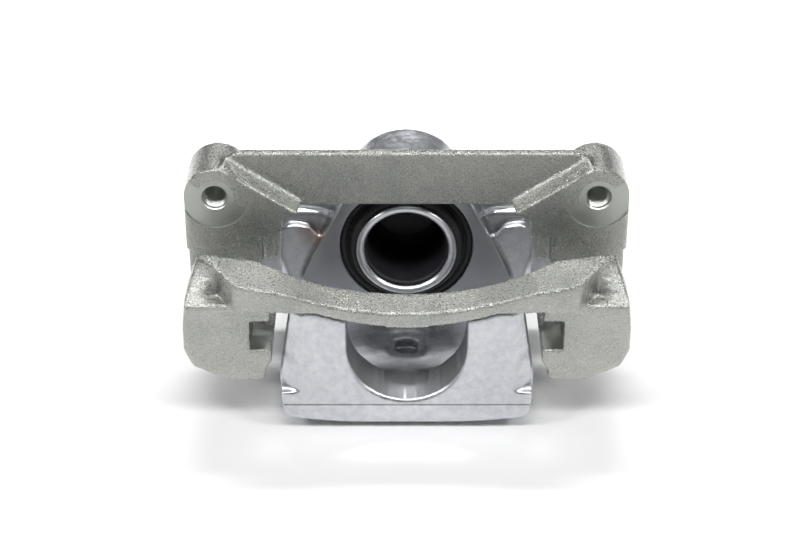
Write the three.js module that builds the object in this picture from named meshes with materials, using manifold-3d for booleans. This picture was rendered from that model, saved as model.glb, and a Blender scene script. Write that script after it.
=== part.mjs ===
// Floating brake caliper, single piston, with its bracket (carrier), guide pins and bleeder.
// Millimetres. Everything is drawn around the piston bore: the piston's front face is at the
// origin, +Y runs inboard (towards the closed end of the cylinder), +Z runs towards the wheel hub
// and X runs along the disc's rim. The outer group then moves the origin to the knuckle plane,
// half way between the two mounting holes.

import * as THREE from 'three';
import { mergeVertices } from 'three/addons/utils/BufferGeometryUtils.js';
import { ConvexGeometry } from 'three/addons/geometries/ConvexGeometry.js';
import Module from 'manifold-3d';

const wasm = await Module();
wasm.setup();

// ---------------------------------------------------------------- driving dimensions

const gap = 0.3;                 // between pieces that touch on the real caliper
const facetBase = 10;            // a circle has this many facets and about one more per millimetre
const sliver = 0.004;            // edges shorter than this are closed up after the booleans

// piston and bore
const pistonR = 24;
const pistonLength = 50;
const pistonWall = 4.8;
const pistonLipWall = 3.9;
const pistonFloor = 6;
const bootGrooveY = 2.4;         // front wall of the boot's groove in the piston
const bootGrooveWidth = 2.4;
const bootGrooveDepth = 1.5;
const boreR = pistonR + gap;
const mouthY = 5;                // machined face that the bore opens in
const boreEndY = 66;
const sealWidth = 3.4;
const sealHeight = 2.7;
const sealY = 12.8;
const bootR = pistonR + 7.6;     // outside of the dust boot
const bootSeatDepth = 5.4;

// disc that the caliper straddles
const discR = 150;
const hubZ = 117;                // wheel axis above the piston axis
const discClearance = 2;
const discGapY = [-42, -17];     // room for the disc between the bracket's two sides

// housing
const cylinderR = boreR + 6.2;
const cylinderEndY = 74.5;
const cylinderEndFillet = 4;
const mouthThickness = 14;
const mouthRimR = bootR + 4.4;
const fingerY = [-68, -50.6];    // front and back faces of the fingers
const fingerTopHalf = 52.7;      // half width of the finger block at its top
const bodyHalf = 58.5;           // half width of the body at its widest
const bodyWideZ = -30;
const bridgeZ = [-55.8, -36];    // outer and inner faces of the bridge at the middle
const bridgeFlatHalf = 12.5;     // half width of the shallow flat under the bridge
const bridgeFlatDepth = 0.9;
const bridgeCornerZ = -50;
const bridgeCornerRadius = 6;
const bridgeFrontRadius = 9;     // between the fingers' front face and the bridge's outer face
const fingerSlotR = 27.2;
const fingerSlotRimR = 28.3;
const fingerSlotZ = -9;          // slot's centre at the back face of the fingers
const fingerSlotFall = 0.24;     // how far the slot drops for each millimetre towards the front
const chamferEdge = [            // x, z and depth along Y, down the inner edge of a finger's chamfer
  [47.2, 8, 8], [50.4, -16, 8], [48.2, -27, 7], [47.8, -42.4, 1.5],
];
const chamferRise = 5;           // how much higher the chamfer's lower end is at its outer side
const windowSize = [11, 13];
const windowY = -25;
const windowRecess = [17, 24, 1.2];

// guide pins
const pinX = 83;
const pinZ = -20;
const pinR = 5;
const pinBoreR = pinR + gap;
const pinTipY = -40;
const pinBoreEndY = -48;
const earY = [27, 37];           // housing ears that the pins are bolted to
const earR = 11;
const pinFlangeR = pinR + 2.5;
const pinFlangeThickness = 3;
const pinBootGroove = [20, 23];
const spigotR = pinR + 3;        // bracket nose that holds a pin boot
const spigotLength = 5;
const boltR = pinR - 2;
const boltReach = 18;            // thread length inside the pin
const boltHeadHalf = 5.5;        // half of the hexagon's width across flats
const boltHeadHeight = 5.5;
const boltFlangeR = 7.5;
const boltFlangeThickness = 1.5;
const damperLength = 12;

// bracket
const holeX = 89;                // mounting holes, either side of the middle
const holeZ = 37.1;
const holeR = 5.25;              // tapping size of an M12 thread
const holeLead = 0.8;            // chamfer at each end of a mounting hole
const bossR = 14.6;
const bossLength = 30;
const plateY = -16;              // outboard face of the ear plates
const plateBackY = -2;
const ledgeZ = [10.4, 16.3];     // lower edge of an ear plate, at its outer and inner parts
const recessDepth = 5;           // of the plate below its ledge
const recessZ = -2;              // where the arm takes over from the recessed plate
const barStep = 9;               // bar's face behind the ear plates' face
const barThickness = 5;
const barZ = [29, 55.8];
const ribFoot = [50.8, 28.8];    // where an ear plate's sloping edge meets the bar
const ribSlope = 3;
const spotDepth = 0.8;
const spotR = [9, 15.5];         // round the hole, and the cutter's wider sweep
const armInnerX = 61.8;
const shoulderClearance = 0.8;   // between the housing's shoulders and the arms' inner faces
const armOuterX = pinX + 18.8;
const armBottomZ = -31.8;
const armTopZ = 8;
const armFrontY = -64;
const armBackY = 4;
const padSlotX = 71.4;
const padSlotZ = [-15.4, -0.9];
const tieTopZ = [8.6, 22.8];     // top of the tie bar at the middle and at its tips
const tieTopR = 162;
const tieCurveHalf = 50;         // half length of the curved part of the tie bar's top
const tieShoulder = [            // x and z along the top, from the curve towards a tip
  [58, 18.4], [64, 18.9], [70, 19.4], [pinX - 3, 20.8],
];
const tieTip = pinX + 13.5;
const tieBottomZ = 1;
const tieBottomR = 125;
const tieClearance = 2;          // between the tie bar and the finger tips

// bleeder and hose port
const bleederY = 58;
const bleederTilt = THREE.MathUtils.degToRad(20);
const bleederBossR = 7.5;
const bleederFaceR = cylinderR + 10.5; // distance of the boss's face from the piston axis
const bleederThreadR = 4;
const bleederThreadLength = 10;
const bleederHexHalf = 5;
const bleederHexLength = 5;
const nippleR = 2.7;
const nippleBulbR = 3.4;
const nippleLength = 8;
const capR = 5.2;
const capEnd = 3;
const portX = 14;
const portZ = -6;
const portBossR = 9;
const portFaceY = cylinderEndY + 3;
const portR = 4.6;
const portDepth = 10;
const passageR = 1.3;

// ---------------------------------------------------------------- shape helpers

// A closed three.js geometry as a solid: shared corners merged, empty triangles dropped.
function solid(geometry) {
  const bare = geometry.clone();
  bare.deleteAttribute('normal');
  bare.deleteAttribute('uv');
  const merged = mergeVertices(bare, 1e-4);
  const index = merged.index.array;
  const triangles = [];
  for (let i = 0; i < index.length; i += 3) {
    const [a, b, c] = [index[i], index[i + 1], index[i + 2]];
    if (a !== b && b !== c && c !== a) triangles.push(a, b, c);
  }
  return new wasm.Manifold(new wasm.Mesh({
    numProp: 3,
    vertProperties: new Float32Array(merged.attributes.position.array),
    triVerts: new Uint32Array(triangles),
  }));
}

// How many facets a circle of this radius gets, a multiple of four.
function facets(radius) {
  return 4 * Math.round((facetBase + radius) / 4);
}

// An outline through [x, y, radius] corners; a radius rounds its corner with an arc.
function outline(corners) {
  const shape = new THREE.Shape();
  corners.forEach(([x, y, radius = 0], i) => {
    const here = new THREE.Vector2(x, y);
    const before = corners[(i + corners.length - 1) % corners.length];
    const after = corners[(i + 1) % corners.length];
    const back = new THREE.Vector2(before[0], before[1]).sub(here).normalize();
    const ahead = new THREE.Vector2(after[0], after[1]).sub(here).normalize();
    const half = Math.acos(THREE.MathUtils.clamp(back.dot(ahead), -1, 1)) / 2;
    if (!radius) {
      if (i) shape.lineTo(x, y); else shape.moveTo(x, y);
      return;
    }
    const reach = radius / Math.tan(half);
    const start = here.clone().addScaledVector(back, reach);
    const end = here.clone().addScaledVector(ahead, reach);
    const middle = back.clone().add(ahead).normalize();
    const centre = here.clone().addScaledVector(middle, radius / Math.sin(half));
    const from = Math.atan2(start.y - centre.y, start.x - centre.x);
    const to = Math.atan2(end.y - centre.y, end.x - centre.x);
    const clockwise = back.cross(ahead) > 0;
    if (i) shape.lineTo(start.x, start.y); else shape.moveTo(start.x, start.y);
    shape.absarc(centre.x, centre.y, radius, from, to, clockwise);
  });
  return shape;
}

// Half an outline (x > 0) and its mirror image, as one list of corners.
function mirrored(half) {
  return [...half, ...half.map(([x, y, r]) => [-x, y, r]).reverse()];
}

function turned(side, corners) {
  return corners.map(([x, y, r]) => [side * x, y, r]);
}

function extrude(shape, length, curveSegments = 5) {
  return new THREE.ExtrudeGeometry(shape, { depth: length, bevelEnabled: false, curveSegments });
}

// An XZ outline pushed along Y from y0 to y1.
function alongY(shape, y0, y1, curveSegments) {
  return solid(extrude(shape, y1 - y0, curveSegments).rotateX(Math.PI / 2).translate(0, y1, 0));
}

// An XY outline pushed along Z from z0 to z1.
function alongZ(shape, z0, z1, curveSegments) {
  return solid(extrude(shape, z1 - z0, curveSegments).translate(0, 0, z0));
}

// A YZ outline pushed along X from x0 to x1.
function alongX(shape, x0, x1, curveSegments) {
  const geometry = extrude(shape, x1 - x0, curveSegments);
  return solid(geometry.rotateY(Math.PI / 2).rotateX(Math.PI / 2).translate(x0, 0, 0));
}

function box(x, y, z) {
  const geometry = new THREE.BoxGeometry(x[1] - x[0], y[1] - y[0], z[1] - z[0]);
  return solid(geometry.translate((x[0] + x[1]) / 2, (y[0] + y[1]) / 2, (z[0] + z[1]) / 2));
}

// A rod along Y, centred on (x, z).
function rod(radius, y0, y1, x = 0, z = 0, endRadius = radius) {
  const geometry = new THREE.CylinderGeometry(endRadius, radius, y1 - y0, facets(radius));
  return solid(geometry.translate(x, (y0 + y1) / 2, z));
}

// A [radius, y] profile turned round the Y axis, with its faces outwards.
function turnedGeometry(profile) {
  const points = profile.map(([r, y]) => new THREE.Vector2(r, y));
  const closed = profile[0][0] > 0 || profile[profile.length - 1][0] > 0;
  const facing = THREE.ShapeUtils.area(points) < 0 ? points.reverse() : points;
  if (closed) facing.push(facing[0].clone());
  return new THREE.LatheGeometry(facing, facets(Math.max(...profile.map(([r]) => r))));
}

function lathe(profile, x = 0, z = 0) {
  return solid(turnedGeometry(profile).translate(x, 0, z));
}

function union(pieces) {
  return pieces.reduce((whole, piece) => whole.add(piece));
}

function cut(whole, pieces) {
  return pieces.reduce((left, piece) => left.subtract(piece), whole);
}

function sides(make) {
  return [make(-1), make(1)];
}

// Points of an arc from one angle to another, both in radians.
function arc(cx, cy, radius, from, to, steps) {
  const points = [];
  for (let i = 0; i <= steps; i += 1) {
    const angle = from + (to - from) * i / steps;
    points.push([cx + radius * Math.cos(angle), cy + radius * Math.sin(angle)]);
  }
  return points;
}

// ---------------------------------------------------------------- materials

const zincIron = { color: 0xa9aba4, roughness: 0.5, metalness: 0.85 };
const castAluminium = { color: 0xb4b6bb, roughness: 0.38, metalness: 0.9 };
const chromedSteel = { color: 0xd6d8db, roughness: 0.16, metalness: 1 };
const platedSteel = { color: 0xc4bfa8, roughness: 0.32, metalness: 0.95 };
const rubber = { color: 0x17181a, roughness: 0.6, metalness: 0 };

function part(name, shape, look) {
  const { vertProperties, triVerts } = shape.simplify(sliver).getMesh();
  const geometry = new THREE.BufferGeometry();
  geometry.setAttribute('position', new THREE.BufferAttribute(vertProperties, 3));
  geometry.setIndex(new THREE.BufferAttribute(triVerts, 1));
  geometry.computeVertexNormals();
  const mesh = new THREE.Mesh(geometry, new THREE.MeshStandardMaterial(look));
  mesh.name = name;
  return mesh;
}

// ---------------------------------------------------------------- bracket

const barY = plateY + barStep;
const knuckleY = plateY + bossLength;
const plateHalf = holeX + bossR;
const ribTop = [holeX - 3, holeZ + bossR];
const armLowerOutline = [
  [armOuterX, -16, 5], [armOuterX - 3.8, -24.5, 4], [pinX, armBottomZ, 5],
  [armInnerX + 3.4, armBottomZ, 2], [armInnerX + 2.6, -26, 1], [armInnerX, -22.2, 1],
];
const armOutline = [
  [armInnerX, armTopZ], [armOuterX - 1.3, armTopZ], [armOuterX, -4, 5], ...armLowerOutline,
];

const tiePlanRoot = [pinX + 3.5, -54.2]; // where the tie bar's front face turns back towards its tip

// Ear plate outline: sloping edge, round ear, and the stepped ledge at its lower edge.
function earPlate(side) {
  const innerX = ribFoot[0] + 7.7;
  const corners = [
    ribFoot, [...ribTop, 3], [plateHalf, ribTop[1], bossR - 0.1], [plateHalf, ledgeZ[0] - 0.6],
    [holeX - 3, ledgeZ[0], 5], [holeX - 10, ledgeZ[1], 5], [innerX, ledgeZ[1]],
    [innerX, ribFoot[1] - 4],
  ];
  return alongY(outline(turned(side, corners)), plateY, plateBackY);
}

// The lower part of a plate, set back from the ear plate and running down into the arm.
function lowerPlate(side) {
  const top = ledgeZ[1] + 6;
  const corners = [
    [armInnerX, top], [plateHalf - 0.6, top], [plateHalf - 0.6, -6, 6], ...armLowerOutline,
  ];
  return alongY(outline(turned(side, corners)), plateY + recessDepth, plateBackY + gap);
}

// The slope that runs diagonally from an ear plate's face back to the bar's face.
function slopedRib(side) {
  const foot = new THREE.Vector3(side * ribFoot[0], 0, ribFoot[1]);
  const top = new THREE.Vector3(side * ribTop[0], 0, ribTop[1]);
  const run = top.clone().sub(foot);
  const acrossDirection = new THREE.Vector3(-run.z, 0, run.x).normalize();
  if (acrossDirection.z < 0) acrossDirection.negate();
  const y = new THREE.Vector3(0, 1, 0);
  const runDirection = acrossDirection.clone().cross(y);
  const start = runDirection.dot(run) > 0 ? foot : top;
  const section = outline([
    [-1, plateY], [0, plateY], [ribSlope, barY], [ribSlope, barY + 1], [-1, barY + 1],
  ]);
  const geometry = extrude(section, run.length());
  geometry.applyMatrix4(new THREE.Matrix4().makeBasis(acrossDirection, y, runDirection));
  return solid(geometry.translate(start.x, start.y, start.z));
}

function bar() {
  const corners = mirrored([
    ribFoot, [ribFoot[0] + 9, ribFoot[1] + 4], [holeX, holeZ], [holeX + 5, holeZ + 10],
    [holeX - 9, barZ[1], 6],
  ]);
  return alongY(outline(corners), barY, barY + barThickness);
}

// The block at the outboard end of an arm, with its ear for the outboard pad.
function arm(side) {
  return alongY(outline(turned(side, armOutline)), armFrontY, armBackY);
}

// The cheek that fills the outer corner above an arm's block: a face that starts along the block's
// front and twists back to the tie bar's tip as it rises.
function cheek(side) {
  const rootX = pinX + 3;
  const rootY = tiePlanRoot[1];
  const levels = 5;
  const slice = (step) => {
    const share = step / levels;
    const z = armTopZ - gap + (tieTopZ[1] - gap - armTopZ) * share;
    const outerX = armOuterX - 1 - (armOuterX - tieTip) * share;
    const y = armFrontY + 0.5 + (discGapY[0] - armFrontY - 0.5) * share;
    return [
      [rootX, rootY, z], [outerX, y - 0.01, z], [outerX, discGapY[0], z], [rootX, discGapY[0], z],
    ].map(([px, py, pz]) => new THREE.Vector3(side * px, py, pz));
  };
  const hulls = [];
  for (let step = 0; step < levels; step += 1) {
    hulls.push(solid(new ConvexGeometry([...slice(step), ...slice(step + 1)])));
  }
  return union(hulls);
}

// The tie bar: its plan outline, kept between a curved top and a curved bottom.
function tieBar() {
  const back = fingerY[1] - 2.7;
  const plan = mirrored([
    [0.001, -72], [55, -71.2, 40], [pinX - 5.5, -67.5, 5], [...tiePlanRoot, 20],
    [tieTip - 0.5, discGapY[0]],
    [68, discGapY[0], 10], [55, back + 1.8, 12], [40, back], [0.001, back],
  ]);
  const topCentre = tieTopZ[0] + tieTopR;
  const bottomCentre = tieBottomZ + tieBottomR;
  const bottomHalf = Math.sqrt(tieBottomR ** 2 - (bottomCentre - armTopZ) ** 2);
  const topAngle = Math.asin(tieCurveHalf / tieTopR);
  const bottomAngle = Math.asin(bottomHalf / tieBottomR);
  const down = -Math.PI / 2;
  const shoulder = (side) => turned(side, tieShoulder);
  const profile = [
    [-tieTip, armTopZ - 1], [-armInnerX, armTopZ - 1], [-armInnerX, armTopZ],
    ...arc(0, bottomCentre, tieBottomR, down - bottomAngle, down + bottomAngle, 20),
    [armInnerX, armTopZ], [armInnerX, armTopZ - 1], [tieTip, armTopZ - 1], [tieTip, tieTopZ[1]],
    ...shoulder(1).reverse(),
    ...arc(0, topCentre, tieTopR, down + topAngle, down - topAngle, 20),
    ...shoulder(-1), [-tieTip, tieTopZ[1]],
  ];
  return alongZ(outline(plan), tieBottomZ - 1, tieTopZ[1] + 1)
    .intersect(alongY(outline(profile), -73, discGapY[0]));
}

// Boot nose on the inboard end of an arm, round the guide pin's bore.
function spigot(side) {
  const y = armBackY;
  const profile = [
    [0, y - 1], [spigotR, y - 1], [spigotR, y + 1.6], [spigotR - 1, y + 2.2], [spigotR - 1, y + 3.6],
    [spigotR, y + 4], [spigotR - 0.6, y + spigotLength], [0, y + spigotLength],
  ];
  return lathe(profile, side * pinX, pinZ);
}

// The shallow machined face round a mounting hole: a small disc and part of a wider one.
function spotFace(side) {
  const [x, depthY] = [side * holeX, plateY + spotDepth];
  const wide = rod(spotR[1], plateY - 2, depthY, x, holeZ);
  const below = outline(turned(side, [
    [holeX + 20, holeZ + 13.5], [holeX, holeZ], [holeX - 20, holeZ - 7.3],
    [holeX - 20, holeZ - 30], [holeX + 20, holeZ - 30],
  ]));
  return rod(spotR[0], plateY - 2, depthY, x, holeZ)
    .add(wide.intersect(alongY(below, plateY - 3, knuckleY)));
}

function mountingHole(side) {
  const x = side * holeX;
  const lead = holeLead;
  return union([
    rod(holeR, plateY - 1, knuckleY + 1, x, holeZ),
    rod(holeR + lead + 0.3, plateY + spotDepth - 0.3, plateY + spotDepth + lead, x, holeZ, holeR),
    rod(holeR, knuckleY - lead, knuckleY + 0.3, x, holeZ, holeR + lead + 0.3),
  ]);
}

// Slots that the two pads' ears slide in, one each side of the disc.
function padSlots(side) {
  const x = (from, to) => [Math.min(side * from, side * to), Math.max(side * from, side * to)];
  return union([
    box(x(armInnerX - 1, padSlotX), [armFrontY - 1, discGapY[0] + 1], padSlotZ),
    box(x(armInnerX - 1, padSlotX), [discGapY[1] - 1, armBackY + 1], padSlotZ),
    box(x(armInnerX - 1, padSlotX - 3), [discGapY[1] - 1, plateBackY - 4], [padSlotZ[1] - 1, ledgeZ[1]]),
  ]);
}

function bracket() {
  const solids = union([
    bar(), tieBar(),
    ...sides(earPlate), ...sides(lowerPlate), ...sides(slopedRib), ...sides(arm), ...sides(cheek),
    ...sides(spigot),
    ...sides((side) => rod(bossR, plateY, knuckleY, side * holeX, holeZ)),
  ]);
  const discGap = rod(discR + discClearance, discGapY[0], discGapY[1], 0, hubZ);
  const frontOfRecess = box([-110, 110], [discGapY[0], plateY + recessDepth], [recessZ, armTopZ + 0.5]);
  return cut(solids, [
    discGap, frontOfRecess, ...sides(spotFace), ...sides(mountingHole), ...sides(padSlots),
    ...sides((side) => rod(pinBoreR, pinBoreEndY, armBackY + spigotLength + 1, side * pinX, pinZ)),
  ]);
}

// ---------------------------------------------------------------- housing

const bleederDirection = new THREE.Vector3(-Math.cos(bleederTilt), 0, Math.sin(bleederTilt));

// Stands a shape turned round +Y on the bleeder's axis; y = 0 is on the piston axis.
function onBleederAxis(geometry) {
  const turn = new THREE.Quaternion().setFromUnitVectors(new THREE.Vector3(0, 1, 0), bleederDirection);
  return solid(geometry.applyQuaternion(turn).translate(0, bleederY, 0));
}

function bleederRod(radius, from, to) {
  const geometry = new THREE.CylinderGeometry(radius, radius, to - from, facets(radius));
  return onBleederAxis(geometry.translate(0, (from + to) / 2, 0));
}

const bridgeBottomZ = bridgeZ[0] - bridgeFlatDepth;
const bodyCorners = mirrored([
  [fingerTopHalf, 8], [bodyHalf, bodyWideZ, 10], [bodyHalf - 1.6, bridgeCornerZ, bridgeCornerRadius],
  [bridgeFlatHalf + 2, bridgeBottomZ], [bridgeFlatHalf, bridgeZ[0]],
]);

// The cylinder that the piston runs in, with a rounded closed end.
function cylinder() {
  const endR = cylinderR - cylinderEndFillet;
  const fillet = arc(endR, cylinderEndY - cylinderEndFillet, cylinderEndFillet, 0, Math.PI / 2, 6);
  return lathe([[0, mouthY], [cylinderR, mouthY], ...fillet, [0, cylinderEndY]]);
}

// The flat machined face round the mouth of the bore.
function mouthFlange() {
  const skirt = outline(mirrored([[30, 25], [45.5, -5], [51, -18], [54, -44, 6]]));
  return alongY(skirt, mouthY, mouthY + mouthThickness)
    .add(rod(mouthRimR, mouthY, mouthY + mouthThickness));
}

// Cast shoulders that run out from the mouth towards the guide-pin ears, in steps that rise and
// draw back, with a widening flat down the outer side of the front one.
function shoulder(side) {
  const backY = mouthY + 20;
  const tipX = armInnerX - shoulderClearance;
  const steps = [
    [mouthY + 3.5, [
      [42, -44], [42, 3, 4], [46, 8, 5], [56, 9.4, 9], [tipX, 6.5, 2], [tipX, -24, 8], [57, -44],
    ]],
    [mouthY + 10, [
      [34, -44], [34, 9, 5], [42, 13, 8], [57, 13.2, 7], [tipX, 8, 3], [tipX, -24, 8], [57, -44],
    ]],
    [mouthY + 15, [[24, -44], [24, 28], [44, 19.5, 10], [60, 13, 6], [60, -24, 8], [57, -44]]],
  ];
  const blocks = steps.map(([y, corners]) => alongY(outline(turned(side, corners)), y, backY));
  const front = steps[0][0] - 1;
  const flat = [
    [62.5, front, 7], [56, front, -20], [66, front, -20], [66, front + 10, -20],
    [56, front, -46], [66, front, -46], [66, front + 10, -46], [66, front, 7],
  ];
  const wedge = new ConvexGeometry(flat.map(([x, y, z]) => new THREE.Vector3(side * x, y, z)));
  return union(blocks).subtract(solid(wedge));
}

// A wing from the cylinder to a guide-pin ear.
function wing(side) {
  const corners = [
    [18, 14], [60, 2, 10], [pinX, pinZ + earR, 6], [pinX + earR, pinZ + earR, earR],
    [pinX + earR, pinZ - earR, earR], [64, pinZ - earR, 14], [18, -26],
  ];
  return alongY(outline(turned(side, corners)), earY[0], earY[1])
    .add(alongY(outline(turned(side, [[18, 20], [50, 14, 6], [58, -6], [56, -30, 8], [18, -30]])),
      mouthY + 18, earY[1]));
}

// What the body may fill, seen from the side: its lower front corner is rounded.
function bodySide(topZ) {
  const backY = mouthY + mouthThickness;
  return alongX(outline([
    [fingerY[0], topZ], [fingerY[0], bridgeBottomZ, bridgeFrontRadius], [backY, bridgeBottomZ],
    [backY, topZ],
  ]), -bodyHalf - 1, bodyHalf + 1, 7);
}

function bridge() {
  return alongY(outline(bodyCorners), fingerY[0], mouthY + mouthThickness).intersect(bodySide(bridgeZ[1]));
}

// Ribs under the cylinder that carry the bridge's pull back to the closed end.
function spine(side) {
  const start = mouthY + 2;
  const corners = [[start, bridgeZ[0] + 4], [30, -44, 8], [60, -26], [60, -10], [start, -10]];
  const x = [Math.min(side * 14, side * 24), Math.max(side * 14, side * 24)];
  return alongX(outline(corners), ...x);
}

// One side's chamfer at the outer edge of the fingers' front face, as wedges between heights.
function fingerChamfer(side) {
  const front = fingerY[0];
  const outer = bodyHalf + 1.5;
  const slice = ([x, z, depth], rise) => [
    [x, front, z], [x, front - 1, z], [outer, front - 1, z + rise], [outer, front + depth, z + rise],
  ].map(([px, py, pz]) => new THREE.Vector3(side * px, py, pz));
  const last = chamferEdge.length - 1;
  return union(chamferEdge.slice(1).map((lower, i) => solid(new ConvexGeometry([
    ...slice(chamferEdge[i], 0), ...slice(lower, i + 1 === last ? chamferRise : 0),
  ]))));
}

// The finger block, its tips kept below the tie bar.
function fingers() {
  const block = alongY(outline(bodyCorners), fingerY[0], fingerY[1]).intersect(bodySide(armTopZ));
  const tieCentre = tieBottomZ + tieBottomR;
  const under = rod(tieBottomR + tieClearance, -80, -40, 0, tieCentre);
  const level = box([-70, 70], [-80, -40], [armTopZ - tieClearance, 40]);
  return cut(block, [under, level, ...sides(fingerChamfer)]);
}

// The slot between the fingers, wider at its front rim, open towards the hub. It leans, so that
// its floor drops towards the front.
function fingerSlot() {
  const flare = fingerSlotRimR - fingerSlotR;
  const [front, back] = fingerY;
  const profile = [
    [fingerSlotRimR, front - 2], [fingerSlotRimR, front], [fingerSlotR, front + flare],
    [fingerSlotR, back + 2],
  ];
  const lean = new THREE.Matrix4().makeShear(0, 0, 0, fingerSlotFall, 0, 0);
  const round = turnedGeometry([[0, front - 2], ...profile, [0, back + 2]]);
  const centred = round.translate(0, -back, 0).applyMatrix4(lean).translate(0, back, fingerSlotZ);
  const plan = mirrored(profile);
  return solid(centred).add(alongZ(outline(plan), fingerSlotZ - 1, armTopZ + 20));
}

function bridgeWindow() {
  const frame = (half, reach, radius) => outline([
    [-half, windowY - reach, radius], [half, windowY - reach, radius],
    [half, windowY + reach, radius], [-half, windowY + reach, radius],
  ]);
  const [wide, long, deep] = windowRecess;
  return alongZ(frame(windowSize[0] / 2, windowSize[1] / 2, 3.5), bridgeBottomZ - 1, bridgeZ[1] + 1)
    .add(alongZ(frame(wide / 2, long / 2, 4), bridgeZ[1] - deep, bridgeZ[1] + 1));
}

// The cylinder's inside: boot seat, seal groove and bore, cut in one turned shape.
function boreCut() {
  const sealR = pistonR + gap + sealHeight + gap;
  const seatR = bootR + gap;
  const seatY = mouthY + bootSeatDepth;
  return lathe([
    [0, mouthY - 1], [seatR, mouthY - 1], [seatR, seatY], [boreR, seatY],
    [boreR, sealY - gap], [sealR, sealY - gap], [sealR, sealY + sealWidth + gap],
    [boreR, sealY + sealWidth + gap], [boreR, boreEndY], [0, boreEndY],
  ]);
}

function housing() {
  const solids = union([
    cylinder(), mouthFlange(), bridge(), fingers(), ...sides(shoulder), ...sides(wing), ...sides(spine),
    bleederRod(bleederBossR, 20, bleederFaceR),
    rod(portBossR, boreEndY + 2, portFaceY, portX, portZ),
  ]);
  const threadEnd = bleederFaceR - bleederThreadLength;
  return cut(solids, [
    boreCut(), fingerSlot(), bridgeWindow(),
    ...sides((side) => rod(boltR + gap, earY[0] - 1, earY[1] + 1, side * pinX, pinZ)),
    bleederRod(bleederThreadR + gap, threadEnd, bleederFaceR + 1),
    bleederRod(passageR, boreR - 2, threadEnd + 1),
    rod(portR, portFaceY - portDepth, portFaceY + 1, portX, portZ),
    rod(passageR, boreEndY - 1, portFaceY - portDepth + 1, portX, portZ),
  ]);
}

// ---------------------------------------------------------------- piston and its rubbers

function piston() {
  const lipR = pistonR - pistonLipWall;
  const cupR = pistonR - pistonWall;
  const grooveR = pistonR - bootGrooveDepth;
  const grooveEnd = bootGrooveY + bootGrooveWidth;
  const floorY = pistonLength - pistonFloor;
  return lathe([
    [lipR, 0.9], [lipR + 0.6, 0], [pistonR - 0.5, 0], [pistonR, 0.5], [pistonR, bootGrooveY],
    [grooveR, bootGrooveY], [grooveR, grooveEnd], [pistonR, grooveEnd],
    [pistonR, pistonLength - 1.5], [pistonR - 1.5, pistonLength], [0, pistonLength],
    [0, floorY], [cupR - 4, floorY], [cupR, floorY - 4], [cupR, 3.5], [lipR, 2.6],
  ].reverse());
}

function pistonSeal() {
  const inner = pistonR + gap;
  const outer = inner + sealHeight;
  return lathe([[inner, sealY], [outer, sealY], [outer, sealY + sealWidth], [inner, sealY + sealWidth]]);
}

// The dust boot: outer bead in the housing's seat, one fold, inner bead in the piston's groove.
function dustBoot() {
  const beadR = pistonR - bootGrooveDepth + gap;
  const beadY = [bootGrooveY + gap, bootGrooveY + bootGrooveWidth - gap];
  const seatEnd = mouthY + bootSeatDepth - gap;
  return lathe([
    [bootR, mouthY - 0.4], [bootR - 2.2, mouthY - 0.6], [bootR - 3.1, mouthY + 1.4],
    [bootR - 4, mouthY + 1.4], [bootR - 5.2, mouthY - 1.8], [bootR - 6.4, mouthY - 2.3],
    [beadR + 1.6, beadY[0]], [beadR, beadY[0]], [beadR, beadY[1]], [beadR + 1.8, beadY[1]],
    [bootR - 6.2, mouthY - 0.7], [bootR - 5.1, mouthY + 3.1], [bootR - 2.4, mouthY + 3.1],
    [bootR - 1.8, seatEnd], [bootR, seatEnd],
  ]);
}

// ---------------------------------------------------------------- guide pins

function guidePin(side, hasDamper) {
  const tip = pinTipY;
  const grooveR = pinR - 1;
  const damperGroove = hasDamper
    ? [[pinR, tip + 3], [grooveR, tip + 3], [grooveR, tip + 3 + damperLength], [pinR, tip + 3 + damperLength]]
    : [];
  const flangeY = earY[0] - gap - pinFlangeThickness;
  const [boot0, boot1] = pinBootGroove;
  const holeY = earY[0] - boltReach - 2;
  return lathe([
    [0, tip], [pinR - 1.2, tip], [pinR, tip + 1.2], ...damperGroove, [pinR, boot0], [grooveR, boot0],
    [grooveR, boot1], [pinR, boot1], [pinR, flangeY], [pinFlangeR, flangeY],
    [pinFlangeR, earY[0] - gap], [boltR + gap, earY[0] - gap], [boltR + gap, holeY], [0, holeY - 2],
  ], side * pinX, pinZ);
}

function pinDamper(side) {
  const y = [pinTipY + 3 + gap, pinTipY + 3 + damperLength - gap];
  const [inner, outer] = [pinR - 1 + gap, pinBoreR - gap];
  return lathe([[inner, y[0]], [outer, y[0]], [outer, y[1]], [inner, y[1]]], side * pinX, pinZ);
}

// Bellows between the bracket's nose and the pin, with three folds.
function pinBoot(side) {
  const wall = 1.1;
  const noseR = spigotR + gap;
  const noseY = [armBackY + gap, armBackY + spigotLength];
  const neckR = pinR - 1 + gap;
  const neckY = [pinBootGroove[0] + gap, pinBootGroove[1] - gap];
  const folds = 3;
  const pitch = (neckY[0] - noseY[1]) / folds;
  const outside = [[noseR + 1.6, noseY[0]], [noseR + 1.6, noseY[1] - 0.4]];
  const inside = [[noseR, noseY[0]], [noseR, noseY[1] + 0.6]];
  for (let i = 0; i < folds; i += 1) {
    const y = noseY[1] + pitch * i;
    const valleyR = spigotR + 0.2 - 0.4 * i;
    const ridgeR = spigotR + 1.6 - 0.6 * i;
    outside.push([valleyR, y + 0.2 * pitch], [ridgeR, y + 0.65 * pitch]);
    if (i) inside.push([valleyR - wall, y + 0.25 * pitch]);
    inside.push([ridgeR - wall, y + 0.65 * pitch]);
  }
  outside.push([neckR + 2.2, neckY[0]], [neckR + 2.2, neckY[1]]);
  inside.push([pinR + gap, neckY[0]], [neckR, neckY[0]], [neckR, neckY[1]]);
  return lathe([...outside, ...inside.reverse()], side * pinX, pinZ);
}

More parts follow.
